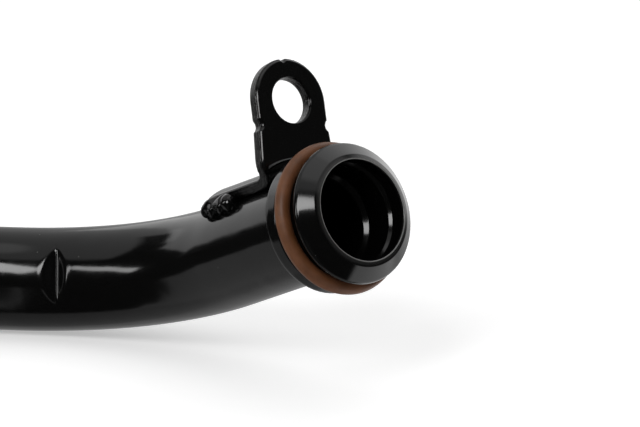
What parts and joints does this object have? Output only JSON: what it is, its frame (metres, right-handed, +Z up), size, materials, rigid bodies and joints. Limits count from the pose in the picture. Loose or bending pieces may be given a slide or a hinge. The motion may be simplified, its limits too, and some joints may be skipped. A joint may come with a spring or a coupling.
{
  "type": "coolant pipe",
  "caption": "Bent steel coolant pipe with a flared spigot and seal ring at one end, a bolted bracket beside it, and a beaded hose end.",
  "frame": {"origin": "on the ground, at the middle of the area the pipe covers as it lies", "axes": "+X along the level run of tube towards the spigot, +Y the way the hose end points, +Z up from the ground it rests on"},
  "size_m": [0.1913, 0.1656, 0.0607],
  "materials": {
    "black_paint": "gloss",
    "seal_rubber": "satin"
  },
  "bodies": {
    "root": {"pipe": "black_paint", "bracket": "black_paint", "weld_near": "black_paint", "weld_far": "black_paint", "seal": "seal_rubber"}
  },
  "joints": []
}
